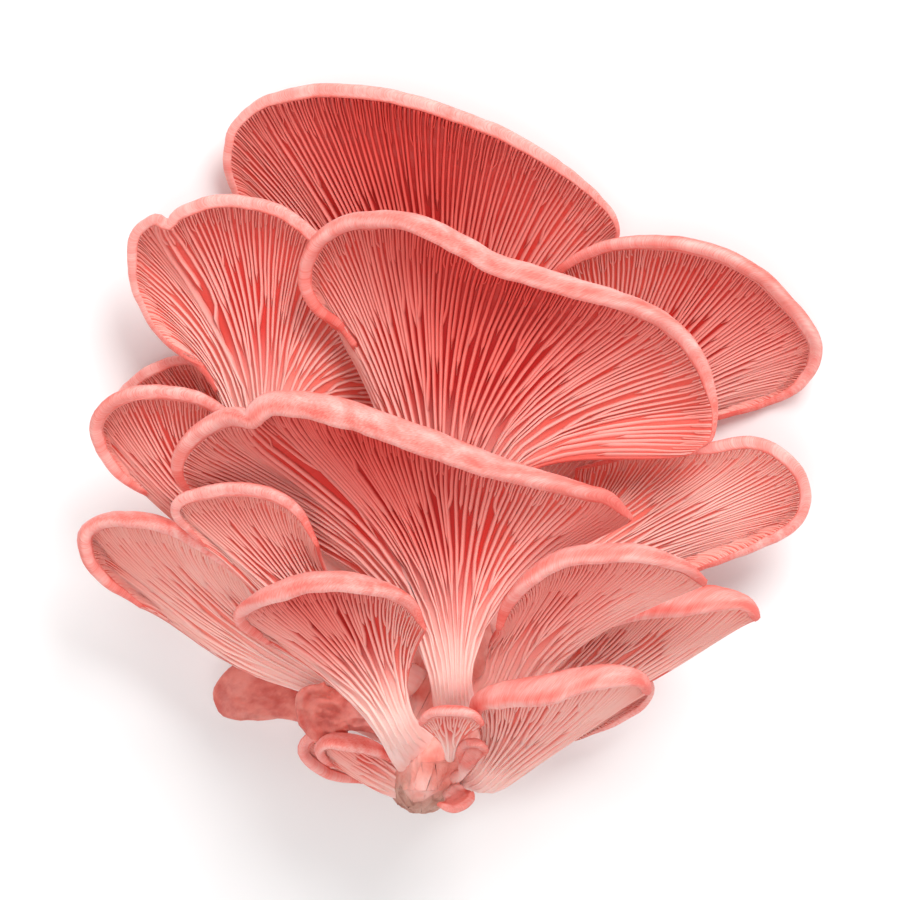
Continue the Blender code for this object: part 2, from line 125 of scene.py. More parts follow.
MUSHROOMS = (
    Mushroom(
        "crown_mushroom", 1.0, foot=(0, -26, 10), neck=(-2, 0, 8), heading=(-0.05, 1, 0),
        stem=(5, 8, 3.5), lip=(15, 95, 15), bend=(0.4, 0.24), flesh=3.2, curl=2,
        margin=((-38, 35, 3.6), (-45, 50, 4.4), (-47.7, 61.5, 8.5), (-43, 71.2, 15), (-29, 75.4, 21),
                (-12, 74, 25), (3, 69.3, 25.5), (16, 63.8, 23), (27, 57, 18), (35.6, 48.5, 11), (34.8, 42, 6),
                (26, 30, 3)),
    ),
    Mushroom(
        "upper_right_mushroom", 0.6, foot=(7, -28, 19), neck=(30, 2, 15), heading=(0.7, 0.7, 0),
        stem=(4.5, 7, 3.5), lip=(75, 135, 0), bend=(0.4, 0.26), flesh=3.2, curl=2.6,
        margin=((19, 33, 20), (28, 40, 24), (40, 43, 27), (52, 41.7, 28), (62.5, 37.4, 26), (71.6, 30.2, 19),
                (77.8, 21.5, 11), (74.8, 13, 5), (67.5, 9, 3.5), (57, 6, 5)),
    ),
    Mushroom(
        "upper_left_mushroom", 0.5, foot=(-6, -32, 22), neck=(-40, 4, 21), heading=(0, 1, 0),
        stem=(4.5, 7, 3.5), lip=(5, 90, 50), wave=1, bend=(0.45, 0.26), flesh=3, curl=2.2,
        margin=((-52.5, 17.5, 19), (-61.5, 23, 17), (-66.8, 32.5, 17), (-67, 43.5, 21), (-62.6, 48, 26),
                (-59.7, 47, 27.5), (-57, 49.5, 29), (-48, 52, 31), (-36, 49.3, 32), (-28, 43, 29),
                (-19.5, 32, 22), (-14.5, 21, 19), (-12.5, 8, 17)),
    ),
    Mushroom(
        "great_mushroom", 1.0, foot=(2, -34, 32), neck=(0, -15, 34), heading=(0, 1, -0.1),
        stem=(5, 9, 4), lip=(45, 170, 0), bend=(0.42, 0.28), flesh=3.8, curl=3.4,
        margin=((-20, 21.5, 28), (-23.5, 26, 27.5), (-28.3, 29.2, 28.5), (-30.4, 35.5, 31.5), (-27, 43, 36),
                (-19, 47, 41), (-5, 45.5, 47), (10, 38, 50), (25, 33.2, 50), (39, 29, 47), (49, 22.3, 43),
                (55.2, 11, 40), (55.2, 2, 39), (50, -2, 37)),
    ),
    Mushroom(
        "front_mushroom", 0.95, foot=(1, -55, 42), neck=(0, -46, 53), heading=(-0.05, 1, 0),
        stem=(4.5, 5, 4.5), lip=(45, 172, 60), bend=(0.48, 0.3), flesh=4.4, curl=4.6,
        margin=((-53, -12, 46), (-56.8, -5.5, 50), (-54, 1, 54), (-47, 5.6, 58), (-41.6, 5.6, 60.5),
                (-39.8, 7, 62), (-36, 8.8, 63.5), (-24, 7.6, 67), (-8, 2, 69), (8, -4.2, 69), (24, -8.9, 66),
                (32.6, -11.4, 62), (38, -15.4, 55)),
    ),
    Mushroom(
        "mid_right_mushroom", 0.0, foot=(8, -38, 26), neck=(24, -28, 25), heading=(0.85, 0.5, 0),
        stem=(4, 6, 3.5), lip=(30, 88, 0), bend=(0.4, 0.28), flesh=3, curl=2.2,
        margin=((26.5, -5, 24), (42, -1.2, 27), (54, -0.5, 30), (65, 0.6, 29), (73.8, -5.3, 25),
                (75.2, -13.5, 20), (69.5, -19.5, 17), (58, -24.5, 17), (48, -28, 19)),
    ),
    Mushroom(
        "right_mushroom", 0.4, foot=(6, -53, 38), neck=(13, -48, 44), heading=(0.35, 0.9, 0.5),
        stem=(3.5, 6, 3.5), lip=(70, 160, 100), bend=(0.42, 0.3), flesh=3.4, curl=3.6,
        margin=((10, -38.5, 59), (13.5, -31, 64), (19.5, -25, 67), (27, -22.3, 69), (37.5, -22.2, 68),
                (47.2, -24.8, 63), (53, -29, 56)),
    ),
    Mushroom(
        "inner_left_mushroom", 0.35, foot=(-7, -50, 42), neck=(-27, -36, 48), heading=(-0.6, 0.8, 0),
        stem=(3.5, 5, 3), lip=(30, 115, 50), bend=(0.4, 0.28), flesh=2.8, curl=2.2,
        margin=((-51.5, -21, 48), (-57.2, -14.5, 51.5), (-55, -11, 54), (-46, -8.8, 58), (-37, -10.3, 59.5),
                (-31.5, -14, 59), (-27.5, -21, 56)),
    ),
    Mushroom(
        "front_left_mushroom", 0.9, foot=(-6, -65, 41), neck=(-13, -55, 57), heading=(-0.4, 0.9, 0.15),
        stem=(6, 5, 3.6), lip=(45, 165, 50), bend=(0.4, 0.3), flesh=3.4, curl=4,
        margin=((-38, -41, 57), (-43.5, -36, 61), (-40, -32.3, 66), (-33, -29, 71), (-25.5, -27.9, 74.5),
                (-17.5, -28.8, 75), (-9.8, -31.8, 73), (-4.8, -38, 68)),
    ),
    Mushroom(
        "left_mushroom", 0.4, foot=(-9, -44, 26), neck=(-46, -18, 27), heading=(-0.85, 0.5, 0),
        stem=(3.5, 5, 3), lip=(20, 118, 45), wave=1.1, bend=(0.4, 0.28), flesh=3, curl=2.4,
        margin=((-61, -13, 24), (-70, -6, 27), (-74.2, 1, 31), (-73.8, 6.5, 34), (-68.5, 10.3, 38),
                (-60, 11.3, 40), (-48, 7.6, 38.5), (-40, -2, 34)),
    ),
    Mushroom(
        "back_left_mushroom", 0.4, foot=(-8, -38, 14), neck=(-46, -4, 9), heading=(-0.6, 0.8, 0),
        stem=(3.5, 5, 3), lip=(20, 80, 30), wave=1.2, flesh=2.8, curl=2,
        margin=((-64, 0, 2), (-70.5, 9, 3), (-66, 14.6, 8), (-57.5, 18.2, 11), (-51, 17, 10), (-45, 10, 8)),
    ),
    Mushroom(
        "lower_left_mushroom", 0.1, foot=(-9, -58, 30), neck=(-34, -46, 30), heading=(-0.85, 0.5, 0),
        stem=(3.5, 5, 3), lip=(40, 150, 120), wave=0.9, bend=(0.4, 0.3), flesh=3, curl=3.6,
        margin=((-65, -34, 25), (-73.5, -27.5, 26), (-77, -21.5, 29), (-75.6, -17.4, 31), (-69, -15.6, 34),
                (-60, -17.2, 38), (-52, -21, 40), (-44.5, -26.5, 38.5), (-40, -32, 38)),
    ),
    Mushroom(
        "lower_right_mushroom", 0.0, foot=(8, -55, 28), neck=(24, -52, 29), heading=(0.85, 0.5, 0),
        stem=(3.5, 5.5, 3), lip=(130, 176, 120), bend=(0.4, 0.3), flesh=3, curl=5.6,
        margin=((26, -39.5, 33), (36, -34, 35), (46, -31.8, 36), (55.5, -31.4, 36), (61.8, -33.2, 34.5),
                (64.2, -37, 31)),
    ),
    Mushroom(
        "front_right_mushroom", 0.25, foot=(4, -69.5, 38), neck=(9.5, -67.5, 49), heading=(0.6, 0.75, 0.35),
        stem=(3.2, 4.8, 3.2), lip=(125, 178, 120), bend=(0.35, 0.3), flesh=3.4, curl=5,
        margin=((5, -57, 57), (6, -52.8, 62), (12, -50.5, 68), (20, -49.2, 73.5), (28, -47.4, 74.5),
                (33.5, -46.8, 73), (39, -48.4, 69), (40.8, -51.5, 64)),
    ),
    Mushroom(
        "lower_right_back_mushroom", 0.4, foot=(6, -64, 24), neck=(18, -61, 19), heading=(0.9, 0.3, 0),
        stem=(3, 4, 3), lip=(10, 45, 5), flesh=2.6, curl=2,
        margin=((26, -50, 14), (36, -47, 18), (43, -50, 18), (42, -55, 15), (34, -60, 13), (26, -63, 13)),
    ),
    Mushroom(
        "smooth_lobe", 0.7, foot=(-10, -62, 18), neck=(-26, -55, 16), heading=(-0.9, 0.2, 0.3),
        stem=(3, 4.5, 3), lip=(-20, -50, -20), flesh=3, wave=1, crumple=0.5, gill_depth=0,
        margin=((-35, -57, 13), (-42, -58, 12), (-48, -57, 11), (-50, -53, 12), (-48.6, -49.4, 14),
                (-43, -45.8, 16), (-34, -47, 18)),
    ),
    Mushroom(
        "crumpled_bud", 0.8, foot=(-10, -60, 36), neck=(-20, -56.5, 38), heading=(-0.9, 0.3, 0.1),
        stem=(2.5, 3.4, 2.5), lip=(20, 60, 30), flesh=2.6, curl=1.6, wave=1.6, crumple=1.4, gill_depth=0,
        margin=((-21, -63, 37), (-28.5, -61.6, 39), (-31.6, -55.5, 40), (-31, -51.6, 41), (-26, -50, 42)),
    ),
    Mushroom(
        "low_left_mushroom", 0.3, foot=(-5, -71.5, 31), neck=(-10.5, -71, 36), heading=(-0.75, 0.5, 0.4),
        stem=(3, 3.5, 3), lip=(60, 165, 120), bend=(0.35, 0.35), flesh=2.4, curl=3.4, wave=0.5,
        gill_depth=0.7,
        margin=((-25, -67.5, 37), (-27.3, -64, 39), (-25.5, -61.8, 41), (-20.5, -62, 41), (-15.5, -63.8, 39),
                (-12, -66.5, 37)),
    ),
    Mushroom(
        "low_left_back_mushroom", 0.35, foot=(-6, -71, 26), neck=(-13, -69, 28), heading=(-0.9, 0.3, 0.1),
        stem=(3, 3.5, 3), lip=(60, 120, 80), flesh=2.4, curl=2, wave=0.5, gill_depth=0.8,
        margin=((-18, -71, 27), (-26, -69, 28), (-30.6, -65, 31), (-29, -61.5, 34), (-22, -61, 35)),
    ),
    Mushroom(
        "baby_mushroom", 0.4, foot=(0, -64.5, 44), neck=(0, -62.5, 60), heading=(0, 0.6, 0.8),
        stem=(1.6, 1.6, 1.6), lip=(90, 150, 90), flesh=2.2, curl=1.8, wave=0.25, gill_depth=0.5,
        margin=((-6.2, -58, 67), (-4, -55.6, 69), (0, -54.9, 70), (4.4, -55.6, 70), (6.8, -58, 69)),
    ),
    Mushroom(
        "button", 0.45, foot=(0.5, -69.5, 44), neck=(3, -67, 58), heading=(0.2, 0.6, 0.8),
        stem=(1.3, 1.3, 1.3), lip=(90, 150, 90), flesh=2.2, curl=1.2, wave=0.5, crumple=0.7, gill_depth=0,
        margin=((1.8, -64.4, 61), (3, -62.4, 62), (5, -62, 63), (6.8, -62.8, 63), (7.4, -64.2, 62)),
    ),
    Mushroom(
        "torn_flap", 0.35, foot=(0.5, -71.5, 38), neck=(1, -73, 45), heading=(0.4, -0.6, 0.5),
        stem=(2, 2.5, 1.6), lip=(60, 100, 60), flesh=2, curl=1.2, wave=0.4, crumple=0.7, gill_depth=0,
        margin=((5, -72, 49), (4.5, -74, 50), (1, -76, 50), (-3, -75, 49)),
    ),
)


# ---- small maths ----

def unit(a):
    return a / np.maximum(np.linalg.norm(a, axis=-1, keepdims=True), 1e-9)


def smooth_step(low, high, x):
    t = np.clip((x - low) / (high - low), 0, 1)
    return t * t * (3 - 2 * t)


def along(line, at):
    """Points on a polyline at shares of its length."""
    run = np.concatenate([[0], np.cumsum(np.linalg.norm(np.diff(line, axis=0), axis=1))])
    return np.stack([np.interp(np.asarray(at) * run[-1], run, line[:, k]) for k in range(3)], axis=-1)


def curve_through(points, at):
    """A smooth curve through the points, read at shares of its length from 0 to 1."""
    p = np.asarray(points, float)
    p = np.vstack([2 * p[0] - p[1], p, 2 * p[-1] - p[-2]])
    t = np.linspace(0, 1, SPAN_STEPS, endpoint=False)[:, None]
    dense = [
        0.5 * (2 * b + (c - a) * t + (2 * a - 5 * b + 4 * c - d) * t**2 + (3 * b - 3 * c + d - a) * t**3)
        for a, b, c, d in zip(p, p[1:], p[2:], p[3:])
    ]
    return along(np.vstack(dense + [p[-2:-1]]), at)


def bezier(a, b, c, d, steps=SPINE_STEPS):
    t = np.linspace(0, 1, steps)[:, None]
    return a * (1 - t) ** 3 + 3 * b * t * (1 - t) ** 2 + 3 * c * t**2 * (1 - t) + d * t**3


def wander(x, seed, octaves=2):
    """Smooth noise along a line, from about -1 to 1."""
    return np.array([noise.fractal(Vector((v, seed * 7.3, 0.5)), 1, 2, octaves) for v in x])


# ---- the shape of a mushroom ----

def length_of(line):
    return float(np.linalg.norm(np.diff(line, axis=0), axis=1).sum())


def middle_share(across, power=2.5):
    """1 in the middle of a cap's edge, falling to 0 at its two ends."""
    return 1 - abs(2 * np.asarray(across) - 1) ** power


def ribs(m, seed, across):
    """For each share across: a line up the stem, a line up the cap, and the length of its rolled lip."""
    foot, neck, heading = np.array(m.foot, float), np.array(m.neck, float), unit(np.array(m.heading, float))
    up = np.array((0.0, 0.0, 1.0))
    root_way = unit(neck - foot)
    neck_side = unit(np.cross(heading, up))
    foot_side = unit(neck_side - root_way * (neck_side @ root_way))
    edge = curve_through(m.margin, across)
    run = length_of(edge) * across
    sway, lift = wander(run / SWAY_RUN, seed), wander(run / LIFT_RUN, seed + 50, 3)
    nick = wander(run / NICK_RUN, seed + 90)
    square = unit(np.cross(up, np.gradient(edge, axis=0)))  # level and square to the edge, outwards
    level = middle_share(across, 2.2)
    stems, caps, rolls = [], [], []
    for k, (u, tip) in enumerate(zip(across, edge)):
        s = 2 * u - 1
        low, high = foot + foot_side * s * m.stem[0], neck + neck_side * s * m.stem[1]
        way_up = unit(heading + neck_side * s * SPLAY)
        arm = STEM_HOLD * np.linalg.norm(high - low)
        stems.append(bezier(low, low + root_way * arm, high - way_up * arm, high))
        out = tip - neck
        out[2] = 0
        turn = EDGE_TURN * (1 - abs(s) ** 6)
        out = unit((1 - turn) * unit(out) + turn * square[k])
        tip = tip + out * m.wave * (SWAY * sway[k] + NICK * nick[k]) + up * m.wave * LIFT * lift[k]
        last = math.radians(level[k] * m.lip[1] + (1 - level[k]) * m.lip[0 if s < 0 else 2])
        last += LIP_SWAY * lift[k] * level[k]
        first = min(last, ROLL_FROM)
        way = out * math.cos(first) + up * math.sin(first)
        far = np.linalg.norm(tip - high)
        cap = bezier(high, high + way_up * far * m.bend[0], tip - way * far * m.bend[1], tip)
        bent = np.linspace(first, last, ROLL_STEPS + 1)[1:, None]
        roll = out * (np.sin(bent) - math.sin(first)) + up * (math.cos(first) - np.cos(bent))
        caps.append(np.vstack([cap, tip + m.curl * roll]) if last > first else cap)
        rolls.append(m.curl * (last - first))
    return stems, caps, np.array(rolls)


def middle_grid(lines, stem_rows, cap_shares, insets):
    """Points of the middle surface by column and row, how far up each is, and its distance from the edge.

    How far up is -1 at the foot, 0 at the neck and 1 at the edge. The last rows lie at the given insets.
    """
    grid, reach, inset = [], [], []
    for stem, cap, end in zip(lines[0], lines[1], insets):
        length = length_of(cap)
        last = 1 - np.asarray(end) / length
        shares = np.concatenate([np.asarray(cap_shares) * last[0], last])
        grid.append(np.vstack([along(stem, 1 + np.asarray(stem_rows)), along(cap, shares)]))
        reach.append(np.concatenate([stem_rows, shares]))
        inset.append(length * (1 - np.maximum(reach[-1], 0)))
    return np.array(grid), np.array(reach), np.array(inset)


def flesh_half(m, across):
    """Half the thickness of the cap, which thins towards the two ends of its edge."""
    return m.flesh / 2 * (THIN_END + (1 - THIN_END) * middle_share(across))


def shape_of(m, grid, reach, inset, across):
    """Facing, half-thickness and distance from the two sides at each grid point."""
    facing = unit(np.cross(np.gradient(grid, axis=0), np.gradient(grid, axis=1)))
    beside = np.minimum(np.linalg.norm(grid - grid[:1], axis=2), np.linalg.norm(grid - grid[-1:], axis=2))
    full = flesh_half(m, across)[:, None]
    edge = 1 - (1 - np.clip(np.minimum(inset, beside) / full, 0, 1)) ** 2
    cap = full * np.sqrt(edge)
    stem = m.stem[2] * np.sqrt(1 - (2 * across - 1) ** 2)[:, None]
    share = smooth_step(*NECK_BLEND, reach)
    return facing, cap * share + stem * (1 - share), beside


def gill_ends(rolls, across):
    """How far from the edge the gills end, one row for each share across."""
    bare = 0.5 + 0.5 * middle_share(across, 4)  # the gills run further over the lip at its two ends
    return (rolls * bare + LIP_BAND * (0.1 + 0.9 * middle_share(across)))[:, None]


def gill_height(m, reach, inset, beside, ends):
    """How deep the gills are: full over the cap, fading down the stem and out where the lip rolls over."""
    fade = smooth_step(GILL_START, GILL_FULL, reach) * (1 - GILL_SHALLOWING * smooth_step(0.5, 0.95, reach))
    return m.gill_depth * fade * smooth_step(ends, ends + END_FADE, inset) * smooth_step(0, SIDE_FADE, beside)


def columns(count):
    """Shares across a cap, closer together at its two sides."""
    s = np.linspace(-1, 1, count + 1)
    return 0.5 + 0.5 * np.sign(s) * (1 - (1 - abs(s)) ** SIDE_CROWDING)


def put_attribute(mesh, name, values):
    layer = mesh.attributes.new(name, "FLOAT", "POINT")
    layer.data.foreach_set("value", np.asarray(values, np.float32).ravel())


def new_object(name, verts, faces):
    mesh = bpy.data.meshes.new(name)
    mesh.from_pydata((np.asarray(verts) * MM).tolist(), [], faces)
    mesh.shade_smooth()
    obj = bpy.data.objects.new(name, mesh)
    bpy.context.scene.collection.objects.link(obj)
    return obj


def crumpled(points, depth):
    """Small creases for flesh that never opened into a gilled cap."""
    knob_size, elsewhere = 1.6, Vector((9, 0, 0))
    moves = []
    for p in points:
        fold = 1 - CREASE_SHARPNESS * abs(noise.noise(Vector(p / np.array(CREASE_SIZE))))
        knob = noise.noise(Vector(p) / knob_size + elsewhere)
        moves.append((0.2 * knob, 0.3 * knob, fold))
    return np.array(moves) * depth


def flesh_body(m, seed):
    """The closed flesh of one mushroom, sunk between its gills."""
    edge = length_of(curve_through(m.margin, np.linspace(0, 1, 200)))
    across = columns(int(max(edge / COLUMN_WIDTH, 24)))
    rise = length_of(np.array([m.neck, m.margin[len(m.margin) // 2]], float))
    cap_shares = np.linspace(0, 1, int(max(rise / ROW_DEPTH, 14)) + 1)[:-1]
    stem_rows = np.linspace(-1, 0, STEM_ROWS + 1)[:-1]
    lines = ribs(m, seed, across)
    insets = np.outer(flesh_half(m, across), EDGE_INSETS)
    grid, reach, inset = middle_grid(lines, stem_rows, cap_shares, insets)
    facing, half, beside = shape_of(m, grid, reach, inset, across)
    sunk = gill_height(m, reach, inset, beside, gill_ends(lines[2], across))
    front = grid + facing * (half - sunk)[..., None]
    back = grid - facing * half[..., None]
    cols, rows = grid.shape[:2]
    rim = np.zeros((cols, rows), bool)
    rim[0], rim[-1], rim[:, -1] = True, True, True
    front[rim] = grid[rim]
    near = np.arange(cols * rows).reshape(cols, rows)
    far = near.copy()
    far[~rim] = cols * rows + np.arange((~rim).sum())
    verts = np.vstack([front.reshape(-1, 3), back[~rim]])
    if m.crumple > 0:
        verts += crumpled(verts, m.crumple)
    verts[:, 2] = np.maximum(verts[:, 2], LOWEST)
    faces = []
    for i in range(cols - 1):
        for j in range(rows - 1):
            faces.append((near[i, j], near[i + 1, j], near[i + 1, j + 1], near[i, j + 1]))
            faces.append((far[i, j + 1], far[i + 1, j + 1], far[i + 1, j], far[i, j]))
    faces.append(tuple(near[:, 0][::-1]) + tuple(far[1:-1, 0]))
    obj = new_object(m.name + "_flesh", verts, [tuple(int(v) for v in f) for f in faces])
    run = across[:, None] * edge * np.clip(reach, 0.08, 1)
    climb = np.cumsum(np.linalg.norm(np.diff(grid, axis=1, prepend=grid[:, :1]), axis=2), axis=1)

    def both(values):
        return np.concatenate([values.ravel(), values[~rim]])

    put_attribute(obj.data, "reach", both(reach))
    put_attribute(obj.data, "inset", both(inset))
    put_attribute(obj.data, "share", both(np.broadcast_to(across[:, None], reach.shape)))
    put_attribute(obj.data, "run", both(run))
    put_attribute(obj.data, "climb", both(climb))
    gilled = np.concatenate([(sunk / max(m.gill_depth, 0.1)).ravel(), np.zeros((~rim).sum())])
    put_attribute(obj.data, "gilled", gilled)
    put_attribute(obj.data, "blush_and_shade", np.full(len(verts), m.blush_and_shade))
    # Pieces with no gills get a darker, ruddier skin: partly their own colour, partly painted shade.
    put_attribute(obj.data, "ruddy_and_shaded", np.full(len(verts), 0 if m.gill_depth else m.blush_and_shade))
    return obj, edge


# ---- gills ----

def gill_bed(m, seed, edge):
    """An open patch of the sunk flesh that the gills stand on, with its two directions as bed_uv."""
    across = np.linspace(0, 1, int(max(edge / BED_COLUMN, 24)) + 1)
    spread = np.linspace(0, 1, BED_ROWS)
    split = -GILL_START / (1 - GILL_START)
    stem_rows = (spread[spread < split] / split - 1) * -GILL_START
    cap_shares = (spread[spread >= split] - split) / (1 - split)
    lines = ribs(m, seed, across)
    ends = gill_ends(lines[2], across)
    grid, reach, inset = middle_grid(lines, stem_rows, cap_shares[:-1], ends)
    facing, half, beside = shape_of(m, grid, reach, inset, across)
    height = gill_height(m, reach, inset, beside, ends)
    floor = grid + facing * (half - height)[..., None]
    cols, rows = grid.shape[:2]
    ids = np.arange(cols * rows).reshape(cols, rows)
    faces = [
        (int(ids[i, j]), int(ids[i + 1, j]), int(ids[i + 1, j + 1]), int(ids[i, j + 1]))
        for i in range(cols - 1) for j in range(rows - 1)
    ]
    bed = new_object(m.name + "_gills", floor.reshape(-1, 3), faces)
    put_attribute(bed.data, "height", height * MM)
    put_attribute(bed.data, "reach", reach)
    uv = np.stack([np.broadcast_to(across[:, None], (cols, rows)),
                   np.broadcast_to(spread[None], (cols, rows)), np.zeros((cols, rows))], axis=-1)
    layer = bed.data.attributes.new("bed_uv", "FLOAT_VECTOR", "POINT")
    layer.data.foreach_set("vector", uv.astype(np.float32).ravel())
    return bed


class Tree:
    """Short calls for building a node tree."""

    def __init__(self, tree):
        self.tree = tree

    def node(self, kind, inputs=None, **settings):
        n = self.tree.nodes.new(kind)
        for key, value in settings.items():
            setattr(n, key, value)
        for key, value in (inputs or {}).items():
            self.set(n.inputs[key], value)
        return n

    def set(self, socket, value):
        if isinstance(value, bpy.types.NodeSocket):
            self.tree.links.new(value, socket)
        else:
            socket.default_value = value

    def math(self, operation, *values, clamp=False):
        n = self.node("ShaderNodeMath", operation=operation, use_clamp=clamp)
        for socket, value in zip(n.inputs, values):
            self.set(socket, value)
        return n.outputs[0]

    def vector(self, operation, *values):
        n = self.node("ShaderNodeVectorMath", operation=operation)
        slots = [n.inputs[0], n.inputs[1]] if operation != "SCALE" else [n.inputs[0], n.inputs["Scale"]]
        for socket, value in zip(slots, values):
            self.set(socket, value)
        return n.outputs[0]

    def step(self, x, low, high, start=0.0, end=1.0):
        n = self.node("ShaderNodeMapRange", interpolation_type="SMOOTHSTEP")
        names = ("Value", "From Min", "From Max", "To Min", "To Max")
        for key, value in zip(names, (x, low, high, start, end)):
            self.set(n.inputs[key], value)
        return n.outputs[0]


def gill_tree():
    """Stands closed blades on a bed: long gills from the stem, with shorter ones starting between them."""
    group = bpy.data.node_groups.new("gill_rows", "GeometryNodeTree")
    face = group.interface
    face.new_socket("Bed", in_out="INPUT", socket_type="NodeSocketGeometry")
    for name, kind, value in (
        ("Gills", "NodeSocketInt", 100), ("Breadth", "NodeSocketFloat", GILL_BREADTH),
        ("Root", "NodeSocketFloat", GILL_ROOT * MM), ("Steps", "NodeSocketInt", GILL_STEPS),
        ("Seed", "NodeSocketInt", 0), ("Finish", "NodeSocketMaterial", None),
    ):
        socket = face.new_socket(name, in_out="INPUT", socket_type=kind)
        if value is not None:
            socket.default_value = value
    face.new_socket("Gills", in_out="OUTPUT", socket_type="NodeSocketGeometry")
    t = Tree(group)
    given = t.node("NodeGroupInput").outputs
    index = t.node("GeometryNodeInputIndex").outputs[0]

    def random(low, high, offset):
        n = t.node("FunctionNodeRandomValue", data_type="FLOAT")
        t.set(n.inputs[2], low)
        t.set(n.inputs[3], high)
        t.set(n.inputs["ID"], index)
        t.set(n.inputs["Seed"], t.math("ADD", given["Seed"], offset))
        return n.outputs[1]

    def keep(geometry, name, value, kind="FLOAT", domain="POINT"):
        n = t.node("GeometryNodeStoreNamedAttribute", data_type=kind, domain=domain)
        t.set(n.inputs["Geometry"], geometry)
        t.set(n.inputs["Name"], name)
        t.set(n.inputs["Value"], value)
        return n.outputs[0]

    def read(name, kind="FLOAT"):
        return t.node("GeometryNodeInputNamedAttribute", {"Name": name}, data_type=kind).outputs[0]

    # one point for each gill, with its place across the cap, where it begins and the gill it leans on
    line = t.node("GeometryNodeMeshLine", {"Count": given["Gills"]}).outputs[0]
    count = t.math("MAXIMUM", given["Gills"], 1)
    jitter = random(-GILL_JITTER, GILL_JITTER, 1)
    share = t.math("DIVIDE", t.math("ADD", t.math("ADD", index, 0.5), jitter), count)

    def is_multiple(n):
        return t.math("COMPARE", t.math("MODULO", index, n), 0, 0.5)

    def choose(n, other, value):
        pick = t.node("ShaderNodeMix", data_type="FLOAT")
        t.set(pick.inputs["Factor"], is_multiple(n))
        t.set(pick.inputs["A"], other)
        t.set(pick.inputs["B"], value)
        return pick.outputs[0]

    start, gap = random(*SHORTEST_GILLS, 2), 1.0
    for n, low, high in GILL_RANKS:
        start = choose(n, start, random(low, high, 2 + n))
        gap = choose(n, gap, float(n))
    side = t.math("SIGN", random(-1, 1, 31))
    leans = t.math("GREATER_THAN", random(0, 1, 32), 1 - LEANING)
    lean = t.math("MULTIPLY", t.math("MULTIPLY", side, gap), leans)
    lean = t.math("MULTIPLY", lean, t.math("SUBTRACT", 1.0, is_multiple(GILL_RANKS[-1][0])))
    shortest = t.math("LESS_THAN", gap, 1.5)
    points = keep(line, "share", share)
    points = keep(points, "start", start)
    points = keep(points, "lean", lean)
    points = keep(points, "slim", t.math("SUBTRACT", 1.0, t.math("MULTIPLY", SHORT_SLIMMING, shortest)))
    points = keep(points, "tall", random(*GILL_TALL, 34))

    # a closed blade, whose corners remember their place in it
    blade = t.node("GeometryNodeMeshCube", {"Size": (1, 1, 1), "Vertices X": 2, "Vertices Z": 2})
    t.set(blade.inputs["Vertices Y"], given["Steps"])
    spot = t.vector("ADD", t.node("GeometryNodeInputPosition").outputs[0], (0.0, 0.5, 0.5))
    blade = keep(blade.outputs[0], "spot", spot, "FLOAT_VECTOR")
    stood = t.node("GeometryNodeInstanceOnPoints", {"Points": points, "Instance": blade}).outputs[0]
    rows = t.node("GeometryNodeRealizeInstances", {"Geometry": stood}).outputs[0]

    # where each corner falls on the bed
    place = t.node("ShaderNodeSeparateXYZ", {0: read("spot", "FLOAT_VECTOR")}).outputs
    left = t.math("SUBTRACT", 1.0, place[1], clamp=True)
    way = t.math("SUBTRACT", 1.0, t.math("POWER", left, BLADE_CROWDING))
    top = place[2]
    begin = read("start")
    up_bed = t.math("ADD", begin, t.math("MULTIPLY", t.math("SUBTRACT", GILL_END, begin), way))
    own = read("share")
    ripple = t.node("ShaderNodeTexNoise", noise_dimensions="2D")
    ripple.inputs["Scale"].default_value = 1.0
    where = t.node("ShaderNodeCombineXYZ")
    t.set(where.inputs[0], t.math("MULTIPLY", own, t.math("MULTIPLY", count, GILL_RIPPLE[0])))
    t.set(where.inputs[1], t.math("MULTIPLY", up_bed, GILL_RIPPLE[1]))
    t.set(ripple.inputs["Vector"], where.outputs[0])
    drift = t.math("MULTIPLY", t.math("SUBTRACT", ripple.outputs[0], 0.5), GILL_DRIFT)
    join = t.math("MULTIPLY", read("lean"), t.step(way, 0.0, JOIN_END, JOIN_SHARE, 0.0))
    cross = t.math("ADD", own, t.math("DIVIDE", t.math("ADD", drift, join), count))
    step = t.math("DIVIDE", 1.0, count)
    cross = t.math("MINIMUM", cross, t.math("SUBTRACT", 1 - BED_MARGIN, step))
    cross = t.math("MAXIMUM", cross, BED_MARGIN)

    def on_bed(name, kind, x):
        n = t.node("GeometryNodeSampleUVSurface", data_type=kind)
        t.set(n.inputs["Mesh"], given["Bed"])
        t.set(n.inputs["Value"], name)
        t.set(n.inputs["UV Map"], read("bed_uv", "FLOAT_VECTOR"))
        at = t.node("ShaderNodeCombineXYZ")
        t.set(at.inputs[0], x)
        t.set(at.inputs[1], up_bed)
        t.set(n.inputs["Sample UV"], at.outputs[0])
        return n.outputs[0]

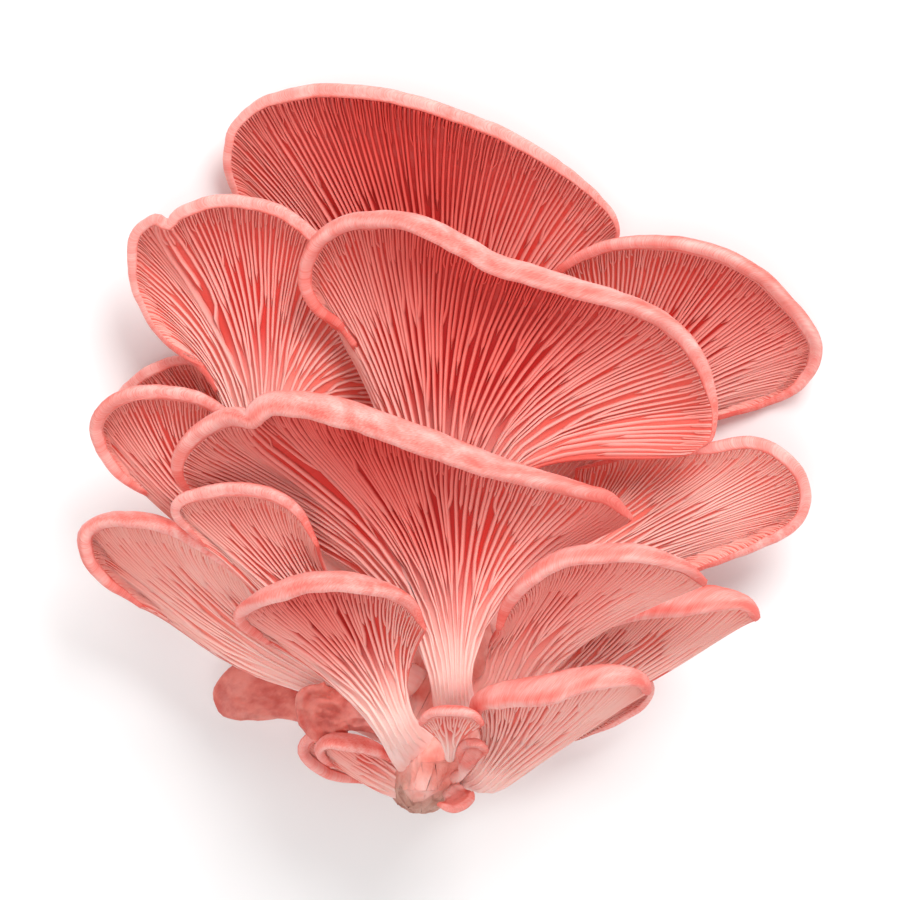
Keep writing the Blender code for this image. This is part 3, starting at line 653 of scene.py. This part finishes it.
    position = t.node("GeometryNodeInputPosition").outputs[0]
    normal = t.node("GeometryNodeInputNormal").outputs[0]
    here = on_bed(position, "FLOAT_VECTOR", cross)
    beside = on_bed(position, "FLOAT_VECTOR", t.math("ADD", cross, step))
    out = on_bed(normal, "FLOAT_VECTOR", cross)
    height = on_bed(read("height"), "FLOAT", cross)
    reach = on_bed(read("reach"), "FLOAT", cross)
    apart = t.vector("SUBTRACT", beside, here)
    sideways = t.vector("NORMALIZE", apart)
    pitch = t.node("ShaderNodeVectorMath", {0: apart}, operation="LENGTH").outputs["Value"]
    near_stem = t.math("SUBTRACT", 1.0, t.math("DIVIDE", reach, HALVING_END), clamp=True)
    halvings = t.math("MULTIPLY", HALVINGS, near_stem)
    spacing = t.math("MULTIPLY", t.math("MULTIPLY", pitch, 2.0), t.math("POWER", 2.0, halvings))
    spacing = t.math("MULTIPLY", t.math("MINIMUM", spacing, GILL_WIDEST * MM), read("slim"))
    taper = t.step(way, 0.0, *BLADE_TAPER, 1.0)
    rise = t.math("MULTIPLY", t.math("MULTIPLY", height, taper), read("tall"))
    lift = t.math("SUBTRACT", t.math("MULTIPLY", rise, top),
                  t.math("MULTIPLY", given["Root"], t.math("SUBTRACT", 1.0, top)))
    narrow = t.math("SUBTRACT", 1.0, t.math("MULTIPLY", top, CREST_NARROWING))
    breadth = t.math("MULTIPLY", given["Breadth"], spacing)
    breadth = t.math("MULTIPLY", breadth, t.math("MULTIPLY", narrow, taper))
    spread = t.vector("SCALE", sideways, t.math("MULTIPLY", place[0], breadth))
    stand = t.vector("SCALE", out, lift)
    final = t.vector("ADD", here, t.vector("ADD", spread, stand))
    moved = t.node("GeometryNodeSetPosition", {"Geometry": rows, "Position": final}).outputs[0]
    moved = keep(moved, "crest", top)
    moved = keep(moved, "reach", reach)
    smooth = t.node("GeometryNodeSetShadeSmooth", {0: moved}).outputs[0]
    done = t.node("GeometryNodeSetMaterial", {"Geometry": smooth, "Material": given["Finish"]}).outputs[0]
    t.tree.links.new(done, t.node("NodeGroupOutput").inputs[0])
    return group


def grow_gills(m, seed, edge, tree, finish):
    """Runs the gill tree on a bed and returns the gills as one plain mesh."""
    bed = gill_bed(m, seed, edge)
    mod = bed.modifiers.new("gill_rows", "NODES")
    mod.node_group = tree
    ids = {s.name: s.identifier for s in tree.interface.items_tree if s.in_out == "INPUT"}
    mod[ids["Gills"]] = int(edge / (GILL_PITCH[0] + GILL_PITCH[1] * edge))
    mod[ids["Breadth"]] = GILL_BREADTH
    mod[ids["Root"]] = GILL_ROOT * MM
    mod[ids["Steps"]] = GILL_STEPS
    mod[ids["Seed"]] = seed
    mod[ids["Finish"]] = finish
    graph = bpy.context.evaluated_depsgraph_get()
    mesh = bpy.data.meshes.new_from_object(bed.evaluated_get(graph))
    bed.modifiers.remove(mod)
    old = bed.data
    bed.data = mesh
    bpy.data.meshes.remove(old)
    put_attribute(mesh, "blush_and_shade", np.full(len(mesh.vertices), m.blush_and_shade))
    return bed


# ---- finishes ----

def ramp(t, x, stops):
    n = t.node("ShaderNodeValToRGB")
    t.set(n.inputs[0], x)
    band = n.color_ramp
    while len(band.elements) < len(stops):
        band.elements.new(0.5)
    for element, (at, colour) in zip(band.elements, stops):
        element.position = at
        element.color = (*colour, 1)
    return n.outputs[0]


def blend(t, share, a, b, kind="MIX"):
    n = t.node("ShaderNodeMix", data_type="RGBA", blend_type=kind)
    t.set(n.inputs["Factor"], share)
    t.set(n.inputs[6], a)
    t.set(n.inputs[7], b)
    return n.outputs[2]


def new_finish(name, roughness):
    mat = bpy.data.materials.new(name)
    mat.use_nodes = True
    t = Tree(mat.node_tree)
    shader = mat.node_tree.nodes["Principled BSDF"]
    shader.inputs["Roughness"].default_value = roughness
    shader.inputs["Specular IOR Level"].default_value = 0.3
    shader.inputs["Subsurface Weight"].default_value = 0.25
    shader.inputs["Subsurface Radius"].default_value = (1.0, 0.35, 0.25)
    shader.inputs["Subsurface Scale"].default_value = 0.0012
    return mat, t, shader


def attribute(t, name):
    return t.node("ShaderNodeAttribute", attribute_name=name).outputs["Fac"]


def streaks(t, across, up, across_scale, up_scale, detail):
    """Noise drawn out along the flesh, from two of the body's own distances in millimetres."""
    at = t.node("ShaderNodeCombineXYZ")
    t.set(at.inputs[0], t.math("MULTIPLY", across, across_scale))
    t.set(at.inputs[1], t.math("MULTIPLY", up, up_scale))
    n = t.node("ShaderNodeTexNoise", {"Vector": at.outputs[0], "Scale": 1.0, "Detail": detail})
    return n.outputs["Fac"]


def blotches(t, scale, detail=2.0):
    spot = t.node("ShaderNodeTexCoord").outputs["Object"]
    n = t.node("ShaderNodeTexNoise", {"Vector": spot, "Scale": scale, "Detail": detail})
    return n.outputs["Fac"]


def from_middle(t):
    return t.math("ABSOLUTE", t.math("SUBTRACT", attribute(t, "share"), CAP_MIDDLE))


def heat_and_shade(t):
    """How red and how deeply shaded the flesh is between the gills: strongest up the middle of each cap, the
    gills' own red deepened with painted shade where the lip overhangs them.
    """
    return t.math("MULTIPLY", attribute(t, "blush_and_shade"), t.step(from_middle(t), 0.02, 0.4, 1.0, 0.25))


def flesh_finish():
    """Pale, faintly fibrous flesh: streaked at the edge, with a painted highlight and painted shade across
    the rolled rim, near white down the stem, red between gills deepened with painted shade.
    """
    mat, t, shader = new_finish("mushroom_flesh", roughness=0.55)
    run, climb = attribute(t, "run"), attribute(t, "climb")
    slant = t.math("ADD", run, t.math("MULTIPLY", climb, 0.5))
    streak = streaks(t, slant, climb, across_scale=4.2, up_scale=1.3, detail=3.0)
    cloud = streaks(t, run, climb, across_scale=0.2, up_scale=0.35, detail=1.0)
    tone = t.math("ADD", t.math("MULTIPLY", streak, 0.55), t.math("MULTIPLY", cloud, 0.45))
    inset = attribute(t, "inset")
    # Painted light across the rolled rim, by distance from the edge: a pale line at the very edge, redder
    # just inside it, a painted highlight on the rim's pale core and painted shade further in where the skin
    # turns away, partly the skin's own pinker border.
    tone = t.math("ADD", tone, t.step(inset, 0.3, 1.2, 0.1, -0.09))
    tone = t.math("ADD", tone, t.step(inset, 1.2, 2.8, 0.0, 0.14))
    tone = t.math("SUBTRACT", tone, t.step(inset, 4.0, 8.0, 0.0, 0.16))
    tone = t.math("SUBTRACT", tone, t.step(from_middle(t), 0.3, 0.5, 0.0, 0.28))
    skin = ramp(t, tone, ((0.3, (0.82, 0.15, 0.12)), (0.44, (0.89, 0.25, 0.21)), (0.56, (0.93, 0.34, 0.30)),
                          (0.72, (0.98, 0.50, 0.45))))
    fibres = streaks(t, run, climb, across_scale=1.1, up_scale=0.08, detail=3.0)
    stem = ramp(t, fibres, ((0.3, (0.96, 0.50, 0.44)), (0.6, (0.98, 0.66, 0.61))))
    pale = t.step(attribute(t, "reach"), -0.1, 0.35, 1.0, 0.0)
    skin = blend(t, pale, skin, stem)
    # Darker blotched skin for pieces with no gills: partly their own colour, partly painted shade.
    dark = ramp(t, blotches(t, 240.0, 3.0), ((0.35, (0.50, 0.08, 0.06)), (0.6, (0.76, 0.24, 0.19))))
    skin = blend(t, attribute(t, "ruddy_and_shaded"), skin, dark)
    # The sunk flesh between the gills: its own red deepened into painted shade in the valleys and under the
    # lip, and paler towards the stem.
    red = ramp(t, heat_and_shade(t), ((0.1, (0.92, 0.21, 0.16)), (0.5, (0.66, 0.03, 0.02)),
                            (0.9, (0.44, 0.005, 0.004))))
    deep = blend(t, t.step(attribute(t, "reach"), 0.0, 0.45, 1.0, 0.0), red, (0.96, 0.50, 0.44, 1))
    t.set(shader.inputs["Base Color"], blend(t, attribute(t, "gilled"), skin, deep))
    bump = t.node("ShaderNodeBump", {"Strength": 0.35, "Distance": 0.0003, "Height": streak})
    t.set(shader.inputs["Normal"], bump.outputs[0])
    return mat


def gill_finish():
    """Rounded gills: pale crests with a painted highlight over deeper red sides with painted shade, darker
    still towards the edge as painted shade under the lip, paler towards the stem.
    """
    mat, t, shader = new_finish("mushroom_gills", roughness=0.55)
    shader.inputs["Specular IOR Level"].default_value = 0.2
    reach, crest = attribute(t, "reach"), attribute(t, "crest")

    def up_the_cap(near_stem, half_way, at_edge):
        return ramp(t, reach, ((0.05, near_stem), (0.4, half_way), (0.8, at_edge)))

    pale_crest = up_the_cap((0.98, 0.62, 0.56), (0.99, 0.56, 0.50), (0.98, 0.50, 0.44))
    # The redder crest and side colours darken towards the edge: painted shade under the overhanging lip.
    red_crest = up_the_cap((0.98, 0.62, 0.56), (0.92, 0.27, 0.23), (0.80, 0.11, 0.09))
    hot_and_shaded = up_the_cap((0.96, 0.50, 0.44), (0.74, 0.04, 0.03), (0.46, 0.005, 0.004))
    mild = up_the_cap((0.96, 0.52, 0.46), (0.95, 0.37, 0.32), (0.93, 0.31, 0.26))
    warm_and_shade = heat_and_shade(t)
    side = blend(t, warm_and_shade, mild, hot_and_shaded)
    # Crest colour over side colour by height up each blade: partly the gills' own paler edges, partly a
    # painted highlight on the crests and painted shade down the sides.
    share = t.step(crest, 0.25, 1.0)
    colour = blend(t, share, side, blend(t, warm_and_shade, pale_crest, red_crest))
    patch = t.step(blotches(t, 70.0), 0.4, 0.65, 0.0, 0.2)
    t.set(shader.inputs["Base Color"], blend(t, patch, colour, side))
    return mat


def base_finish():
    """The base's tan, cracked flesh, which turns pink towards the stems."""
    mat, t, shader = new_finish("base_flesh", roughness=0.7)
    tan = ramp(t, blotches(t, 260.0, 5.0), ((0.3, (0.44, 0.18, 0.13)), (0.5, (0.55, 0.27, 0.21)),
                                            (0.7, (0.64, 0.36, 0.29))))
    pink = ramp(t, blotches(t, 200.0, 4.0), ((0.3, (0.80, 0.24, 0.19)), (0.5, (0.91, 0.38, 0.32)),
                                             (0.7, (0.96, 0.52, 0.46))))
    place = t.node("ShaderNodeSeparateXYZ", {0: t.node("ShaderNodeTexCoord").outputs["Object"]}).outputs
    height = t.math("ADD", place[2], t.math("MULTIPLY", blotches(t, 120.0), 0.014))
    share = t.math("MAXIMUM", t.step(height, 0.05, 0.056), t.step(place[1], -0.073, -0.067))
    colour = blend(t, share, tan, pink)
    seam = t.math("ABSOLUTE", t.math("SUBTRACT", blotches(t, 95.0, 3.0), 0.5))
    crack = t.math("MULTIPLY", t.step(seam, 0.0, 0.03, 0.6, 0.0), t.math("SUBTRACT", 1.0, share))
    colour = blend(t, crack, colour, (0.30, 0.08, 0.05, 1))
    t.set(shader.inputs["Base Color"], colour)
    bump = t.node("ShaderNodeBump", {"Strength": 0.6, "Distance": 0.0008, "Height": blotches(t, 700.0, 4.0)})
    t.set(shader.inputs["Normal"], bump.outputs[0])
    return mat


def lumpy_base():
    """The base again with its knobs and folds, finer than the node that it stands in for."""
    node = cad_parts["base"]
    bm = bmesh.new()
    bm.from_mesh(node.data)
    bm.transform(node.matrix_world)
    bmesh.ops.subdivide_edges(bm, edges=bm.edges[:], cuts=5, smooth=0.6, use_grid_fill=True)
    bmesh.ops.triangulate(bm, faces=bm.faces[:])
    bm.normal_update()
    knob_size, fold_width, fold_length = 5, 2.6, 7
    knob_height, fold_height, sunk = 0.5, 0.45, 0.35
    for v in bm.verts:
        p = v.co / MM
        knobs = noise.fractal(p / knob_size, 1, 2, 3)
        at = Vector((p.x / fold_width, p.y / fold_length, p.z / fold_width))
        folds = 1 - abs(noise.noise(at)) * CREASE_SHARPNESS
        v.co += v.normal * MM * (knob_height * knobs + fold_height * folds - sunk)
        v.co.z = max(v.co.z, LOWEST * MM)
    mesh = bpy.data.meshes.new("lumpy_base")
    bm.to_mesh(mesh)
    bm.free()
    mesh.shade_smooth()
    obj = bpy.data.objects.new("lumpy_base", mesh)
    bpy.context.scene.collection.objects.link(obj)
    return obj


def plain_finish(name, colour, roughness):
    mat = bpy.data.materials.new(name)
    mat.use_nodes = True
    shader = mat.node_tree.nodes["Principled BSDF"]
    shader.inputs["Base Color"].default_value = (*colour, 1)
    shader.inputs["Roughness"].default_value = roughness
    return mat


# ---- setting ----

def set_floor():
    half = 3 / MM
    corners = [(-half, -half, 0), (half, -half, 0), (half, half, 0), (-half, half, 0)]
    floor = new_object("floor", corners, [(0, 1, 2, 3)])
    floor.data.materials.append(plain_finish("floor_white", (0.93, 0.93, 0.93), roughness=0.9))


def add_lamp(name, place, size, watts, target=(0, 0, 0.03)):
    lamp = bpy.data.lights.new(name, "AREA")
    lamp.shape = "DISK"
    lamp.size = size
    lamp.energy = watts
    obj = bpy.data.objects.new(name, lamp)
    obj.location = place
    obj.rotation_euler = (Vector(place) - Vector(target)).to_track_quat("Z", "Y").to_euler()
    bpy.context.scene.collection.objects.link(obj)


def set_lights():
    add_lamp("key", (0.3, 0.6, 0.85), size=0.6, watts=8)
    add_lamp("front_fill", (-0.2, -0.3, 1.3), size=0.8, watts=5)
    world = bpy.data.worlds.new("studio")
    world.use_nodes = True
    world.node_tree.nodes["Background"].inputs["Color"].default_value = (1, 1, 1, 1)
    world.node_tree.nodes["Background"].inputs["Strength"].default_value = 0.62
    bpy.context.scene.world = world
    bpy.context.scene.view_settings.view_transform = "Standard"


def set_camera():
    """Straight above the cluster, far off, so that it shows almost without perspective."""
    cam = bpy.data.cameras.new("camera")
    height, level, field = 2.0, 0.04, 0.189  # of the camera, of the caps, and how much it sees there
    aside = -0.00084
    cam.lens = cam.sensor_width * (height - level) / field
    obj = bpy.data.objects.new("camera", cam)
    obj.location = (0, aside, height)
    bpy.context.scene.collection.objects.link(obj)
    bpy.context.scene.camera = obj


def main():
    set_camera()
    set_lights()
    set_floor()
    flesh, gills, tan = flesh_finish(), gill_finish(), base_finish()
    tree = gill_tree()
    for seed, m in enumerate(MUSHROOMS):
        body, edge = flesh_body(m, seed)
        body.data.materials.append(flesh)
        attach(body, "root")
        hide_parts(m.name)
        if m.gill_depth > 0:
            rows = grow_gills(m, seed, edge, tree, gills)
            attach(rows, "root")
            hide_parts(m.name)
    base = lumpy_base()
    base.data.materials.append(tan)
    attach(base, "root")
    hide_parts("base")


main()
